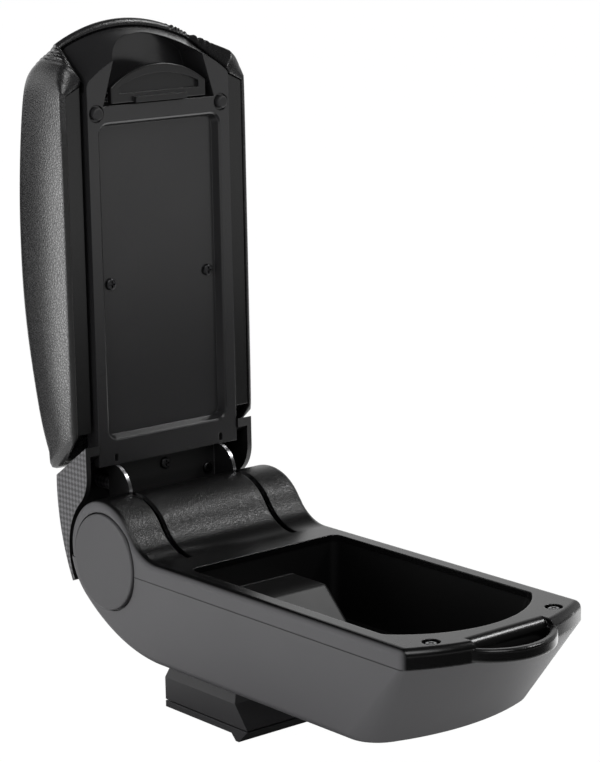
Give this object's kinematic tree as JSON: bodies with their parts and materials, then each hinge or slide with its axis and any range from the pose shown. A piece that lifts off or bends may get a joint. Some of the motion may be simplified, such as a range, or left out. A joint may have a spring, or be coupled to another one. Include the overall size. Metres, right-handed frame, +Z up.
{
  "type": "car centre armrest",
  "caption": "Boat-shaped storage box on a mounting foot, with a hinge drum across its rear and a hinged lid whose padded top slides forward.",
  "frame": {"origin": "centre of the foot plate's underside, midway between its two fixing holes", "axes": "+X across the car to the right, +Y to the rear, +Z up; the lid stands upright at rest"},
  "size_m": [0.124, 0.341, 0.3717],
  "materials": {
    "hull_grey": "fine matt grain",
    "tray_black": "satin deck with a coarse grain on the hump",
    "foot_grey": "matt moulded",
    "panel_black": "satin moulded",
    "lever_black": "satin moulded",
    "weave_grey": "fine weave relief",
    "base_black": "satin moulded",
    "vinyl_black": "pebble-grained leatherette",
    "bumper_rubber": "soft matt",
    "bracket_steel": "bright rolled steel",
    "screw_steel": "bright zinc",
    "screw_black": "black oxide",
    "bush_white": "moulded bearing plastic",
    "rail_black": "satin moulded"
  },
  "bodies": {
    "base": {"lower_hull": "hull_grey", "top_tray": "tray_black", "hinge_shaft": "bracket_steel", "shaft_clips": "bracket_steel", "rim_screws": "screw_steel", "foot_block": "foot_grey", "foot_plate": "foot_grey", "foot_screws": "screw_steel", "plate_screws": "screw_steel", "side_cap_left": "hull_grey", "side_cap_right": "hull_grey"},
    "lid": {"inner_panel": "panel_black", "tray_screws": "screw_black", "hinge_bracket": "bracket_steel", "bracket_screws": "screw_steel", "panel_screws": "screw_steel", "rear_cover": "weave_grey", "latch_pin": "bracket_steel", "latch_spring": "bracket_steel", "bumper_left": "bumper_rubber", "bumper_right": "bumper_rubber", "hinge_bush_left": "bush_white", "hinge_bush_right": "bush_white", "slide_rail_left": "rail_black", "slide_rail_right": "rail_black"},
    "cushion": {"cushion_base": "base_black", "cushion_pad": "vinyl_black"},
    "latch": {"latch_lever": "lever_black"}
  },
  "joints": [
    {"name": "lid_hinge", "type": "hinge", "parent": "base", "child": "lid", "pos_m": [0, 0.0428, 0.0849], "axis": [1, 0, 0], "range_deg": [0, 92]},
    {"name": "cushion_slide", "type": "slide", "parent": "lid", "child": "cushion", "axis": [0, 0, 1], "range_m": [0, 0.05]},
    {"name": "latch_release", "type": "hinge", "parent": "lid", "child": "latch", "pos_m": [0, 0.0711, 0.3305], "axis": [-1, 0, 0], "range_deg": [0, 15], "stiffness_Nm_per_rad": 0.1, "springref_deg": -11.46}
  ]
}
